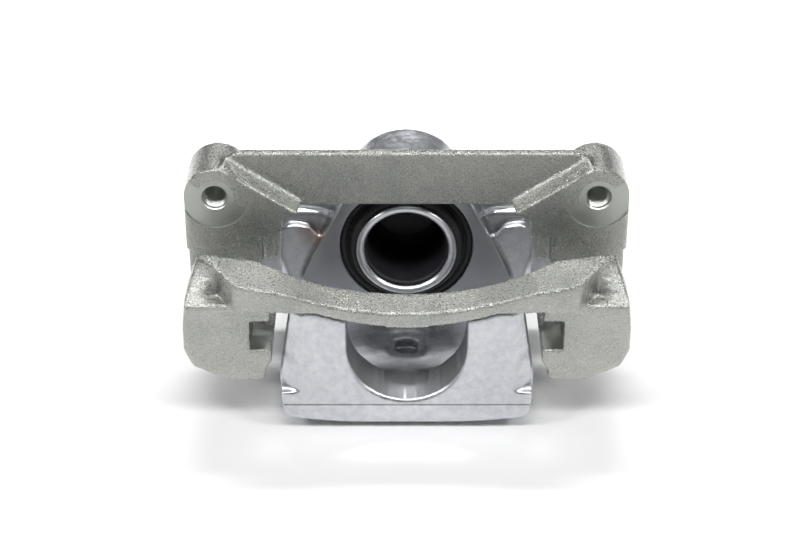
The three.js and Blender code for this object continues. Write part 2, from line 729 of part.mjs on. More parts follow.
function hexagon(acrossHalf) {
  const corners = [];
  for (let i = 0; i < 6; i += 1) {
    const angle = Math.PI / 3 * i;
    const reach = acrossHalf / Math.cos(Math.PI / 6);
    corners.push([reach * Math.cos(angle), reach * Math.sin(angle)]);
  }
  return corners;
}

function pinBolt(side) {
  const face = earY[1] + gap;
  const head = hexagon(boltHeadHalf).map(([x, z]) => [x + side * pinX, z + pinZ]);
  return union([
    rod(boltR, earY[0] - boltReach, face + 1, side * pinX, pinZ),
    rod(boltFlangeR, face, face + boltFlangeThickness, side * pinX, pinZ),
    alongY(outline(head), face + 0.5, face + boltHeadHeight),
  ]);
}

// ---------------------------------------------------------------- bleeder

const hexStart = bleederFaceR + gap;
const hexEnd = hexStart + bleederHexLength;
const nippleEnd = hexEnd + nippleLength;

function bleederScrew() {
  const threadStart = bleederFaceR - bleederThreadLength + 1.5;
  const turnedPart = onBleederAxis(turnedGeometry([
    [0, threadStart], [bleederThreadR - 1.5, threadStart], [bleederThreadR, threadStart + 1.5],
    [bleederThreadR, hexStart + 1], [nippleR, hexStart + 1], [nippleR, hexEnd + 3],
    [nippleBulbR, hexEnd + 4.2], [nippleR - 0.2, nippleEnd], [0, nippleEnd],
  ]));
  const hex = new THREE.CylinderGeometry(1, 1, bleederHexLength, 6);
  const reach = bleederHexHalf / Math.cos(Math.PI / 6);
  hex.scale(reach, 1, reach).translate(0, (hexStart + hexEnd) / 2, 0);
  const drilling = bleederRod(0.9, hexStart, nippleEnd + 1);
  return turnedPart.add(onBleederAxis(hex)).subtract(drilling);
}

function bleederCap() {
  const start = hexEnd + gap;
  const end = nippleEnd + capEnd;
  const inner = nippleBulbR + gap;
  return onBleederAxis(turnedGeometry([
    [inner, start], [capR, start], [capR, start + 2], [capR - 0.7, start + 3], [capR - 0.7, end - 1.5],
    [capR - 1.8, end], [0, end], [0, nippleEnd + gap], [inner, nippleEnd + gap],
  ]));
}

// ---------------------------------------------------------------- assembly

const sideName = (side) => (side < 0 ? 'left' : 'right');
const caliper = new THREE.Group();
caliper.position.set(0, -knuckleY, -holeZ);
caliper.add(
  part('bracket', bracket(), zincIron),
  part('caliper_housing', housing(), castAluminium),
  part('piston', piston(), chromedSteel),
  part('piston_seal', pistonSeal(), rubber),
  part('dust_boot', dustBoot(), rubber),
  part('guide_pin_damper', pinDamper(-1), rubber),
  part('bleeder_screw', bleederScrew(), platedSteel),
  part('bleeder_cap', bleederCap(), rubber),
);
for (const side of [-1, 1]) {
  const name = sideName(side);
  caliper.add(
    part(`guide_pin_${name}`, guidePin(side, side < 0), platedSteel),
    part(`guide_pin_boot_${name}`, pinBoot(side), rubber),
    part(`guide_pin_bolt_${name}`, pinBolt(side), platedSteel),
  );
}

const object = new THREE.Group();
object.add(caliper);
export default object;
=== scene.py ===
import math

import bmesh
import bpy
import numpy as np
from mathutils import Matrix, Vector


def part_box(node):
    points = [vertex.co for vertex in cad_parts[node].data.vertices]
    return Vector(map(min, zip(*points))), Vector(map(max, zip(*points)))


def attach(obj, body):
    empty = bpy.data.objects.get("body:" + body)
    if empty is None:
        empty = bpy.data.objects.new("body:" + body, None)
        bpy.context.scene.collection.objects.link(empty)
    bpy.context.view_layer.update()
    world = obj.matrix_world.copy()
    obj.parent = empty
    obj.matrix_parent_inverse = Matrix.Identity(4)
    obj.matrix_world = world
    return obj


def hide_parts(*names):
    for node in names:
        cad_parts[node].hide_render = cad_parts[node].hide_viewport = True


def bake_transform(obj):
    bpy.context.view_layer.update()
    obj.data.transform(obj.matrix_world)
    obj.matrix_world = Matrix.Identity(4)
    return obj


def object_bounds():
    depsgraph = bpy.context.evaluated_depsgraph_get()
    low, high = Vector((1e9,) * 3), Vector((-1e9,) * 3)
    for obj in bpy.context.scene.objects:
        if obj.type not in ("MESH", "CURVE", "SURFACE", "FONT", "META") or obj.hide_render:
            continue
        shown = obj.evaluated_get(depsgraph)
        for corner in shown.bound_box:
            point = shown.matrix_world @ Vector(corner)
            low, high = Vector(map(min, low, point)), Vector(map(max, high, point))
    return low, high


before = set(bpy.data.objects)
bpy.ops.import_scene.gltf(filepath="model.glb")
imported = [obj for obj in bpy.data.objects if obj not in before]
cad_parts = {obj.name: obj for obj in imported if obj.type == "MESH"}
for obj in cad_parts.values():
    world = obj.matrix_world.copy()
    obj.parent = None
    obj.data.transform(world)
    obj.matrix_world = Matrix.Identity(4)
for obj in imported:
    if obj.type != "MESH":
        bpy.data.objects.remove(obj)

cad_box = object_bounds()

# Sizes are in millimetres and become metres at the mesh. Places are worked out from the packed
# pieces: `bore` is the middle of the piston's front face, +Y runs inboard, +Z towards the hub.
MM = 0.001
piston_low, piston_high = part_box("piston")
BORE = Vector(((piston_low[0] + piston_high[0]) / 2, piston_low[1], (piston_low[2] + piston_high[2]) / 2))
PISTON_R = (piston_high[0] - piston_low[0]) / 2 / MM
PISTON_LENGTH = (piston_high[1] - piston_low[1]) / MM
KNUCKLE_Y = -BORE.y / MM          # the plane y = 0 of the frame, seen from the bore
HOLE_Z = -BORE.z / MM
HOLE_X = 89.0
BOSS_R = 14.6                     # round ear at each mounting hole
CYLINDER_R = 30.5
PLATE_Y = -16.0                   # outboard face of the ear plates
SPOT_Y = -15.2                    # machined face round each mounting hole
MOUTH_Y = 5.0                     # machined face round the bore
PIN_X = 83.0
PIN_Z = -20.0
ARM_BACK_Y = 4.0
FINGER_Y = (-68.0, -50.6)
SLOT_Z = -9.0                     # centre of the slot between the fingers, at their back face
SLOT_R = 27.2
SLOT_FALL = 0.24                  # the slot drops this much per millimetre towards the front
BLEEDER_Y = 58.0
BLEEDER_TILT = math.radians(20)
EAR_Y = (27.0, 37.0)
PORT = (14.0, 77.5, -6.0)
PARTING_Z = -42.9                 # the moulds of the housing met here
PIN_BORE_R = 5.3
SPOT_R = 15.5                     # sweep of the cutter round a mounting hole
PAD_SLOT_X = (60.5, 71.5)         # cut past the arm's inner face, to the slot's end wall
PAD_SLOT_Z = (-15.5, -0.8)
MACHINED_SKIN = 0.12              # taken off a cast face that is machined flat
CASTING_EDGE_ANGLE = 32           # degrees; sharper edges of a casting stay sharp


def at(x, y, z):
    """A point given in millimetres from the bore, in the frame's metres."""
    return BORE + Vector((x, y, z)) * MM


# ---------------------------------------------------------------- mesh helpers

def new_object(name, mesh):
    piece = bpy.data.objects.new(name, mesh)
    bpy.context.scene.collection.objects.link(piece)
    return piece


def baked(piece):
    """The piece with its modifiers applied and removed."""
    bpy.context.view_layer.update()
    evaluated = piece.evaluated_get(bpy.context.evaluated_depsgraph_get())
    mesh = bpy.data.meshes.new_from_object(evaluated)
    piece.modifiers.clear()
    piece.data = mesh
    return piece


def mesh_from(bm, name):
    mesh = bpy.data.meshes.new(name)
    bm.to_mesh(mesh)
    bm.free()
    return mesh


def shade(piece, angle=35):
    piece.data.shade_smooth()
    piece.data.set_sharp_from_angle(angle=math.radians(angle))
    return piece


def soften_edges(piece, width, segments=3, angle=28):
    bevel = piece.modifiers.new("edges", "BEVEL")
    bevel.width = width * MM
    bevel.segments = segments
    bevel.limit_method = "ANGLE"
    bevel.angle_limit = math.radians(angle)
    return shade(baked(piece))


def along(direction):
    """A turn that stands a shape made round +Z along this direction."""
    return Vector((0, 0, 1)).rotation_difference(Vector(direction)).to_matrix().to_4x4()


def lathe(name, profile, origin, finish, direction=(0, 1, 0), segments=96):
    """A closed turned piece: `profile` holds (radius, distance along the axis) in millimetres."""
    bm = bmesh.new()
    rings = []
    for radius, distance in profile:
        if radius < 1e-6:
            rings.append([bm.verts.new((0, 0, distance * MM))])
            continue
        ring = []
        for i in range(segments):
            turn = 2 * math.pi * i / segments
            ring.append(bm.verts.new((radius * MM * math.cos(turn), radius * MM * math.sin(turn), distance * MM)))
        rings.append(ring)
    closed = profile[0][0] > 0 and profile[-1][0] > 0
    pairs = list(zip(rings, rings[1:])) + ([(rings[-1], rings[0])] if closed else [])
    for lower, upper in pairs:
        for i in range(segments):
            j = (i + 1) % segments
            corners = [lower[i % len(lower)], lower[j % len(lower)], upper[j % len(upper)], upper[i % len(upper)]]
            unique = list(dict.fromkeys(corners))
            if len(unique) > 2:
                bm.faces.new(unique)
    bmesh.ops.recalc_face_normals(bm, faces=bm.faces)
    bmesh.ops.transform(bm, matrix=Matrix.Translation(origin) @ along(direction), verts=bm.verts)
    piece = new_object(name, mesh_from(bm, name))
    piece.data.materials.append(finish)
    return piece


def prism(name, outline, low, high, finish):
    """An outline in x and z, in millimetres from the bore, pushed along Y from low to high."""
    bm = bmesh.new()
    bottom = [bm.verts.new(at(x, low, z)) for x, z in outline]
    top = [bm.verts.new(at(x, high, z)) for x, z in outline]
    bm.faces.new(bottom)
    bm.faces.new(top)
    count = len(outline)
    for i in range(count):
        j = (i + 1) % count
        bm.faces.new([bottom[i], bottom[j], top[j], top[i]])
    bmesh.ops.recalc_face_normals(bm, faces=bm.faces)
    piece = new_object(name, mesh_from(bm, name))
    if finish:
        piece.data.materials.append(finish)
    return piece


def block(name, x, y, z, finish):
    corners = [(x[0], z[0]), (x[1], z[0]), (x[1], z[1]), (x[0], z[1])]
    return prism(name, corners, y[0], y[1], finish)


def rod(name, radius, low, high, x, z, finish, segments=64):
    profile = [(0, low), (radius, low), (radius, high), (0, high)]
    return lathe(name, profile, at(x, 0, z), finish, segments=segments)


def combine(piece, tools, operation):
    """Joins or cuts the piece with each tool; the tool's finish stays on the faces it makes."""
    for tool in tools:
        step = piece.modifiers.new("tool", "BOOLEAN")
        step.object = tool
        step.operation = operation
        step.solver = "MANIFOLD"
        step.material_mode = "TRANSFER"
    baked(piece)
    for tool in tools:
        bpy.data.objects.remove(tool)
    return piece


def relax(mesh, rounds, strength=0.5):
    """Evens out a dense mesh, which rounds its edges the way a sand casting's are."""
    count = len(mesh.vertices)
    points = np.empty(count * 3)
    mesh.vertices.foreach_get("co", points)
    points = points.reshape(-1, 3)
    edges = np.empty(len(mesh.edges) * 2, dtype=np.int64)
    mesh.edges.foreach_get("vertices", edges)
    first, second = edges.reshape(-1, 2).T
    degree = np.bincount(first, minlength=count) + np.bincount(second, minlength=count)
    for _ in range(rounds):
        total = np.empty_like(points)
        for axis in range(3):
            total[:, axis] = (np.bincount(first, points[second, axis], count)
                              + np.bincount(second, points[first, axis], count))
        points += strength * (total / degree[:, None] - points)
    mesh.vertices.foreach_set("co", points.ravel())
    mesh.update()


def roughen(mesh, depth, seed):
    """Pushes each point in or out along its normal by a small random depth, as sand leaves a casting."""
    count = len(mesh.vertices)
    points = np.empty(count * 3)
    normals = np.empty(count * 3)
    mesh.vertices.foreach_get("co", points)
    mesh.vertex_normals.foreach_get("vector", normals)
    grain = np.random.default_rng(seed).normal(0, depth * MM, count)
    mesh.vertices.foreach_set("co", points + normals * np.repeat(grain, 3))
    mesh.update()


def cast_blank(node, name, fills, voxel, rounds, grain, seed, finish):
    """The casting before machining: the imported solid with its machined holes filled, its edges rounded
    and its skin roughened."""
    bm = bmesh.new()
    bm.from_mesh(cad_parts[node].data)
    bmesh.ops.remove_doubles(bm, verts=bm.verts, dist=1e-6)
    piece = new_object(name, mesh_from(bm, name))
    piece.data.materials.clear()
    piece.data.materials.append(finish)
    combine(piece, fills, "UNION")
    remesh = piece.modifiers.new("skin", "REMESH")
    remesh.mode = "VOXEL"
    remesh.voxel_size = voxel * MM
    baked(piece)
    piece.data.materials.clear()
    piece.data.materials.append(finish)
    relax(piece.data, rounds)
    roughen(piece.data, grain, seed)
    return piece


# ---------------------------------------------------------------- materials

class Finish:
    """Builds one node material; every pattern reads Object coordinates."""

    def __init__(self, name, base, metallic, roughness):
        self.material = bpy.data.materials.new(name)
        self.material.use_nodes = True
        self.tree = self.material.node_tree
        self.shader = self.tree.nodes["Principled BSDF"]
        self.shader.inputs["Base Color"].default_value = (*base, 1)
        self.shader.inputs["Metallic"].default_value = metallic
        self.shader.inputs["Roughness"].default_value = roughness
        self.place = self.node("ShaderNodeTexCoord").outputs["Object"]
        self.height = None

    def node(self, kind, **settings):
        made = self.tree.nodes.new(kind)
        for key, value in settings.items():
            setattr(made, key, value)
        return made

    def link(self, source, target):
        self.tree.links.new(source, target)

    def noise(self, scale, detail=4, roughness=0.6, stretch=None):
        made = self.node("ShaderNodeTexNoise")
        made.inputs["Scale"].default_value = scale
        made.inputs["Detail"].default_value = detail
        made.inputs["Roughness"].default_value = roughness
        source = self.place
        if stretch:
            mapping = self.node("ShaderNodeMapping")
            mapping.inputs["Scale"].default_value = stretch
            self.link(self.place, mapping.inputs["Vector"])
            source = mapping.outputs["Vector"]
        self.link(source, made.inputs["Vector"])
        return made.outputs["Fac"]

    def cells(self, scale):
        """Distance from the nearest of many scattered points."""
        made = self.node("ShaderNodeTexVoronoi", feature="F1")
        made.inputs["Scale"].default_value = scale
        self.link(self.place, made.inputs["Vector"])
        return made.outputs["Distance"]

    def ranged(self, source, low, high, to_low=0.0, to_high=1.0):
        made = self.node("ShaderNodeMapRange")
        for key, value in (("From Min", low), ("From Max", high), ("To Min", to_low), ("To Max", to_high)):
            made.inputs[key].default_value = value
        self.link(source, made.inputs["Value"])
        return made.outputs["Result"]

    def tint(self, factor, first, second):
        made = self.node("ShaderNodeMix", data_type="RGBA")
        made.inputs["A"].default_value = (*first, 1)
        made.inputs["B"].default_value = (*second, 1)
        self.link(factor, made.inputs["Factor"])
        return made.outputs["Result"]

    def over(self, factor, under, colour):
        made = self.node("ShaderNodeMix", data_type="RGBA")
        self.link(factor, made.inputs["Factor"])
        self.link(under, made.inputs["A"])
        made.inputs["B"].default_value = (*colour, 1)
        return made.outputs["Result"]

    def bump(self, source, distance, strength=1.0):
        made = self.node("ShaderNodeBump")
        made.inputs["Strength"].default_value = strength
        made.inputs["Distance"].default_value = distance * MM
        self.link(source, made.inputs["Height"])
        if self.height:
            self.link(self.height, made.inputs["Normal"])
        self.height = made.outputs["Normal"]
        self.link(self.height, self.shader.inputs["Normal"])

    def colour(self, source):
        self.link(source, self.shader.inputs["Base Color"])

    def rough(self, source):
        self.link(source, self.shader.inputs["Roughness"])

    def from_axis(self, x, z):
        """Distance from an axis along Y through (x, z), in millimetres from the bore."""
        centre = at(x, 0, z)
        mapping = self.node("ShaderNodeMapping")
        mapping.inputs["Location"].default_value = (-centre.x, 0, -centre.z)
        mapping.inputs["Scale"].default_value = (1, 0, 1)
        self.link(self.place, mapping.inputs["Vector"])
        length = self.node("ShaderNodeVectorMath", operation="LENGTH")
        self.link(mapping.outputs["Vector"], length.inputs[0])
        return length.outputs["Value"]

    def parting_line(self, z, half):
        """1 on a level line round the casting, z millimetres from the bore, and 0 away from it."""
        height = self.node("ShaderNodeSeparateXYZ")
        self.link(self.place, height.inputs["Vector"])
        offset = self.node("ShaderNodeMath", operation="SUBTRACT")
        self.link(height.outputs["Z"], offset.inputs[0])
        offset.inputs[1].default_value = at(0, 0, z).z
        away = self.node("ShaderNodeMath", operation="ABSOLUTE")
        self.link(offset.outputs["Value"], away.inputs[0])
        return self.ranged(away.outputs["Value"], 0, half * MM, 1.0, 0.0)

    def from_point(self, x, y, z):
        """Distance from a point given in millimetres from the bore."""
        gap = self.node("ShaderNodeVectorMath", operation="DISTANCE")
        self.link(self.place, gap.inputs[0])
        gap.inputs[1].default_value = at(x, y, z)
        return gap.outputs["Value"]

    def rings(self, x, z, scale):
        """Fine turning marks: noise along the distance from an axis."""
        made = self.node("ShaderNodeTexNoise", noise_dimensions="1D")
        made.inputs["Scale"].default_value = scale
        made.inputs["Detail"].default_value = 3
        self.link(self.from_axis(x, z), made.inputs["W"])
        return made.outputs["Fac"]


def zinc_casting():
    """Sand-cast iron under bright zinc plate: warm grey with a coarse, glittering grain."""
    finish = Finish("zinc_casting", (0.55, 0.56, 0.53), 1.0, 0.42)
    patches = finish.noise(45, 3)
    skin = finish.tint(finish.ranged(patches, 0.35, 0.65), (0.40, 0.41, 0.385), (0.48, 0.48, 0.45))
    flecks = finish.ranged(finish.noise(2300, 2), 0.56, 0.66)
    finish.colour(finish.over(flecks, skin, (0.62, 0.63, 0.6)))
    finish.rough(finish.ranged(finish.noise(1100, 3, 0.7), 0.35, 0.65, 0.2, 0.4))
    finish.bump(finish.noise(1500, 2, 0.6), 0.42)
    finish.bump(finish.noise(300, 3), 0.25)
    return finish.material


def zinc_machined():
    """Plated face cut by a spinning tool."""
    finish = Finish("zinc_machined", (0.50, 0.52, 0.49), 1.0, 0.34)
    finish.rough(finish.ranged(finish.noise(160, 4), 0.3, 0.7, 0.28, 0.42))
    finish.bump(finish.rings(HOLE_X, HOLE_Z, 5200), 0.05)
    finish.bump(finish.rings(-HOLE_X, HOLE_Z, 5200), 0.05)
    finish.bump(finish.noise(900, 3), 0.03)
    return finish.material


def cast_aluminium():
    """Blasted aluminium casting: cool satin grey with a fine mottle and a few dark pits."""
    finish = Finish("cast_aluminium", (0.66, 0.67, 0.70), 1.0, 0.36)
    mottle = finish.noise(260, 5, 0.7)
    skin = finish.tint(finish.ranged(mottle, 0.35, 0.65), (0.54, 0.55, 0.59), (0.68, 0.69, 0.72))
    pits = finish.ranged(finish.cells(95), 0.02, 0.085, 1.0, 0.0)
    patches = finish.ranged(finish.noise(24, 2), 0.56, 0.66)
    pitted = finish.node("ShaderNodeMath", operation="MULTIPLY")
    finish.link(pits, pitted.inputs[0])
    finish.link(patches, pitted.inputs[1])
    stain = finish.ranged(finish.from_point(-44.5, 6, 5), 0.001, 0.011, 0.6, 0.0)
    stained = finish.over(stain, skin, (0.42, 0.25, 0.14))
    finish.colour(finish.over(pitted.outputs["Value"], stained, (0.16, 0.16, 0.17)))
    finish.rough(finish.ranged(finish.noise(130, 4), 0.3, 0.7, 0.3, 0.46))
    finish.bump(finish.noise(520, 5, 0.6), 0.16)
    finish.bump(finish.noise(70, 3), 0.5, 0.5)
    finish.bump(finish.parting_line(PARTING_Z, 0.5), 0.25)
    return finish.material


def machined_aluminium():
    """Turned or milled aluminium, darker and smoother than the cast skin."""
    finish = Finish("machined_aluminium", (0.40, 0.41, 0.43), 1.0, 0.3)
    finish.rough(finish.ranged(finish.noise(60, 4), 0.3, 0.7, 0.34, 0.46))
    finish.bump(finish.rings(0, 0, 3800), 0.03)
    finish.bump(finish.noise(400, 3), 0.04)
    return finish.material


def polished_steel():
    """Ground and plated piston."""
    finish = Finish("polished_steel", (0.66, 0.67, 0.69), 1.0, 0.3)
    finish.rough(finish.ranged(finish.noise(90, 3), 0.3, 0.7, 0.27, 0.34))
    finish.bump(finish.rings(0, 0, 2500), 0.002)
    return finish.material


def cup_painted_shade():
    """The drawn inside of the piston, painted nearly black: painted shade for the hollow of the cup."""
    finish = Finish("cup_painted_shade", (0.045, 0.045, 0.05), 0.6, 0.38)
    finish.rough(finish.ranged(finish.noise(70, 3), 0.3, 0.7, 0.3, 0.5))
    finish.bump(finish.noise(300, 3), 0.05)
    return finish.material


def rubber():
    """Moulded black rubber with a faint bloom."""
    finish = Finish("moulded_rubber", (0.014, 0.014, 0.015), 0.0, 0.5)
    finish.colour(finish.tint(finish.noise(80, 4), (0.009, 0.009, 0.01), (0.024, 0.024, 0.026)))
    finish.rough(finish.ranged(finish.noise(500, 3), 0.3, 0.7, 0.42, 0.62))
    finish.bump(finish.noise(900, 3), 0.05)
    return finish.material


def plated_steel():
    """Turned steel under pale yellow zinc."""
    finish = Finish("plated_steel", (0.66, 0.62, 0.52), 1.0, 0.3)
    finish.colour(finish.tint(finish.noise(120, 4), (0.58, 0.56, 0.5), (0.72, 0.67, 0.52)))
    finish.rough(finish.ranged(finish.noise(240, 4), 0.3, 0.7, 0.24, 0.4))
    finish.bump(finish.noise(700, 3), 0.03)
    return finish.material


ZINC_CAST = zinc_casting()
ZINC_CUT = zinc_machined()
ALU_CAST = cast_aluminium()
ALU_CUT = machined_aluminium()
CHROME = polished_steel()
# Nearly black painted shade for the inside of the piston.
PAINTED_SHADE_CUP = cup_painted_shade()
RUBBER = rubber()
PLATED = plated_steel()


# ---------------------------------------------------------------- threads, by Geometry Nodes

def thread_tree():
    """A screw thread's ridge: a diamond section swept along a helix round +Z from z = 0."""
    tree = bpy.data.node_groups.new("ScrewThread", "GeometryNodeTree")
    sizes = (("Radius", 0.006), ("Depth", 0.0006), ("Pitch", 0.0015), ("Turns", 10.0), ("Steps per turn", 40.0))
    for name, default in sizes:
        socket = tree.interface.new_socket(name=name, in_out="INPUT", socket_type="NodeSocketFloat")
        socket.default_value = default
    tree.interface.new_socket(name="Finish", in_out="INPUT", socket_type="NodeSocketMaterial")
    tree.interface.new_socket(name="Geometry", in_out="OUTPUT", socket_type="NodeSocketGeometry")
    given = tree.nodes.new("NodeGroupInput").outputs
    helix = tree.nodes.new("GeometryNodeCurveSpiral")
    tree.links.new(given["Steps per turn"], helix.inputs["Resolution"])
    tree.links.new(given["Turns"], helix.inputs["Rotations"])
    tree.links.new(given["Radius"], helix.inputs["Start Radius"])
    tree.links.new(given["Radius"], helix.inputs["End Radius"])
    height = tree.nodes.new("ShaderNodeMath")
    height.operation = "MULTIPLY"
    tree.links.new(given["Pitch"], height.inputs[0])
    tree.links.new(given["Turns"], height.inputs[1])
    tree.links.new(height.outputs["Value"], helix.inputs["Height"])
    upright = tree.nodes.new("GeometryNodeSetCurveNormal")
    upright.mode = "Z_UP"
    tree.links.new(helix.outputs["Curve"], upright.inputs["Curve"])
    section = tree.nodes.new("GeometryNodeCurvePrimitiveCircle")
    section.inputs["Resolution"].default_value = 4
    tree.links.new(given["Depth"], section.inputs["Radius"])
    sweep = tree.nodes.new("GeometryNodeCurveToMesh")
    sweep.inputs["Fill Caps"].default_value = True
    tree.links.new(upright.outputs["Curve"], sweep.inputs["Curve"])
    tree.links.new(section.outputs["Curve"], sweep.inputs["Profile Curve"])
    real = tree.nodes.new("GeometryNodeRealizeInstances")
    tree.links.new(sweep.outputs["Mesh"], real.inputs["Geometry"])
    dress = tree.nodes.new("GeometryNodeSetMaterial")
    tree.links.new(real.outputs["Geometry"], dress.inputs["Geometry"])
    tree.links.new(given["Finish"], dress.inputs["Material"])
    tree.links.new(dress.outputs["Geometry"], tree.nodes.new("NodeGroupOutput").inputs["Geometry"])
    return tree


THREAD = thread_tree()


def thread(name, radius, depth, pitch, length, origin, direction, finish, body):
    """One thread, standing on `origin` and running along `direction`."""
    piece = new_object(name, bpy.data.meshes.new(name))
    nodes = piece.modifiers.new("thread", "NODES")
    nodes.node_group = THREAD
    values = {
        "Radius": radius * MM, "Depth": depth * MM, "Pitch": pitch * MM, "Turns": length / pitch,
        "Steps per turn": 40.0, "Finish": finish,
    }
    for item in THREAD.interface.items_tree:
        if item.in_out == "INPUT":
            nodes[item.identifier] = values[item.name]
    baked(piece)
    piece.data.transform(Matrix.Translation(origin) @ along(direction))
    shade(piece, 30)
    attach(piece, body)
    return piece


# ---------------------------------------------------------------- bracket

def bracket():
    """The carrier casting, with its drilled ears, pad slots and pin bores machined into it."""
    fills = []
    for side in (-1, 1):
        fills.append(rod("fill", BOSS_R, PLATE_Y, KNUCKLE_Y, side * HOLE_X, HOLE_Z, None, 96))
        fills.append(rod("fill", 6, -50, ARM_BACK_Y + 4.9, side * PIN_X, PIN_Z, None))
    piece = cast_blank("bracket", "bracket_casting", fills, 0.85, 3, 0.035, 11, ZINC_CAST)
    tools = []
    for side in (-1, 1):
        x = side * HOLE_X
        spot = lathe("cut", [
            (0, SPOT_Y - 4), (9, SPOT_Y - 4), (9, SPOT_Y - 0.2), (8.8, SPOT_Y), (6.3, SPOT_Y), (5.7, SPOT_Y + 0.6),
            (5.7, KNUCKLE_Y - 0.6), (6.3, KNUCKLE_Y), (6.6, KNUCKLE_Y + 1), (0, KNUCKLE_Y + 1),
        ], at(x, 0, HOLE_Z), ZINC_CUT)
        sweep_face = []
        for step in range(41):
            turn = math.radians(200 + 193 * step / 40)
            sweep_face.append((x + side * SPOT_R * math.cos(turn), HOLE_Z + SPOT_R * math.sin(turn)))
        tools += [
            spot,
            prism("cut", sweep_face, SPOT_Y - 4, SPOT_Y, ZINC_CUT),
            rod("cut", PIN_BORE_R, -48, ARM_BACK_Y + 8, side * PIN_X, PIN_Z, ZINC_CUT),
            rod("cut", 16, KNUCKLE_Y - MACHINED_SKIN, KNUCKLE_Y + 3, x, HOLE_Z, ZINC_CUT),
        ]
        reach = sorted(side * end for end in PAD_SLOT_X)
        tools += [
            block("cut", reach, (-66, -41.0), PAD_SLOT_Z, ZINC_CUT),
            block("cut", reach, (-18.0, 6), PAD_SLOT_Z, ZINC_CUT),
        ]
    combine(piece, tools, "DIFFERENCE")
    shade(piece, CASTING_EDGE_ANGLE)
    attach(piece, "bracket")
    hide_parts("bracket")
    for side, word in ((-1, "left"), (1, "right")):
        start = at(side * HOLE_X, SPOT_Y + 1.3, HOLE_Z)
        thread(f"mounting_thread_{word}", 5.75, 0.55, 1.5, 26, start, (0, 1, 0), ZINC_CUT,
               "bracket")


# ---------------------------------------------------------------- housing

BLEEDER_DIRECTION = Vector((-math.cos(BLEEDER_TILT), 0, math.sin(BLEEDER_TILT)))
BLEEDER_FACE = 41.0
SEAT_R = 31.9
SEAT_Y = 10.4
SEAL_Y = (12.5, 16.5)
BORE_R = 24.3


def housing():
    """The caliper body: a smooth aluminium casting with a machined mouth, bore, slot and ports."""
    fills = [
        rod("fill", 36, MOUTH_Y, 15, 0, 0, None, 128),
        lathe("fill", [
            (0, 11), (CYLINDER_R, 11), (CYLINDER_R, 70.5), (CYLINDER_R - 0.6, 72.3), (CYLINDER_R - 2, 73.8),
            (CYLINDER_R - 4, 74.5), (0, 74.5),
        ], at(0, 0, 0), None, segments=128),
    ]
    piece = cast_blank("caliper_housing", "housing_casting", fills, 0.9, 5, 0.008, 23, ALU_CAST)
    bore = lathe("cut", [
        (0, MOUTH_Y - 4), (SEAT_R + 0.6, MOUTH_Y - 4), (SEAT_R + 0.6, MOUTH_Y), (SEAT_R, MOUTH_Y + 0.6),
        (SEAT_R, SEAT_Y), (BORE_R, SEAT_Y), (BORE_R, SEAL_Y[0]), (27.3, SEAL_Y[0]), (27.3, SEAL_Y[1]),
        (BORE_R, SEAL_Y[1]), (BORE_R, 66), (0, 66),
    ], at(0, 0, 0), ALU_CUT, segments=128)
    mouth = prism("cut", [
        (-30, 25.5), (-45.5, -5), (-51, -18), (-54, -35.7), (54, -35.7), (51, -18), (45.5, -5), (30, 25.5),
        (24, 37), (-24, 37),
    ], 1.0, MOUTH_Y + 0.15, ALU_CUT)
    slot = rod("cut", SLOT_R + 0.1, FINGER_Y[0] + 1.2, FINGER_Y[1] + 2, 0, 0, ALU_CUT, 96)
    lean = Matrix.Translation(at(0, FINGER_Y[1], SLOT_Z))
    shear = Matrix.Identity(4)
    shear[2][1] = SLOT_FALL
    slot.data.transform(lean @ shear @ Matrix.Translation(-at(0, FINGER_Y[1], 0)))
    tools = [
        bore, mouth, slot,
        block("cut", (-60, 60), (FINGER_Y[1] - 0.15, -45), (-35.8, 9), ALU_CUT),
        lathe("cut", [(0, 30), (1.3, 30), (1.3, 31), (4.0, 31), (4.0, 40.2), (4.8, 41), (4.8, 43), (0, 43)],
              at(0, BLEEDER_Y, 0), ALU_CUT, BLEEDER_DIRECTION),
        lathe("cut", [(0, -11), (1.3, -11), (1.3, -10), (4.8, -10), (4.8, -0.8), (5.6, 0), (5.6, 2), (0, 2)],
              at(*PORT), ALU_CUT),
        lathe("cut", [(0, -MACHINED_SKIN), (8.2, -MACHINED_SKIN), (8.2, 2), (0, 2)], at(*PORT), ALU_CUT),
    ]
    for side in (-1, 1):
        tools.append(rod("cut", 3.3, 25, 40, side * PIN_X, PIN_Z, ALU_CUT))
        tools.append(rod("cut", 9.5, EAR_Y[1] - MACHINED_SKIN, 42, side * PIN_X, PIN_Z, ALU_CUT))
        tools.append(rod("cut", 9, 20, EAR_Y[0] + MACHINED_SKIN, side * PIN_X, PIN_Z, ALU_CUT))
    combine(piece, tools, "DIFFERENCE")
    shade(piece, CASTING_EDGE_ANGLE)
    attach(piece, "caliper")
    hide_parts("caliper_housing")
    thread("hose_port_thread", 4.85, 0.35, 1.0, 8, at(PORT[0], PORT[1] - 9.3, PORT[2]), (0, 1, 0), ALU_CUT,
           "caliper")


# ---------------------------------------------------------------- turned and moulded pieces

def finished(piece, body, node):
    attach(piece, body)
    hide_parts(node)
    return piece


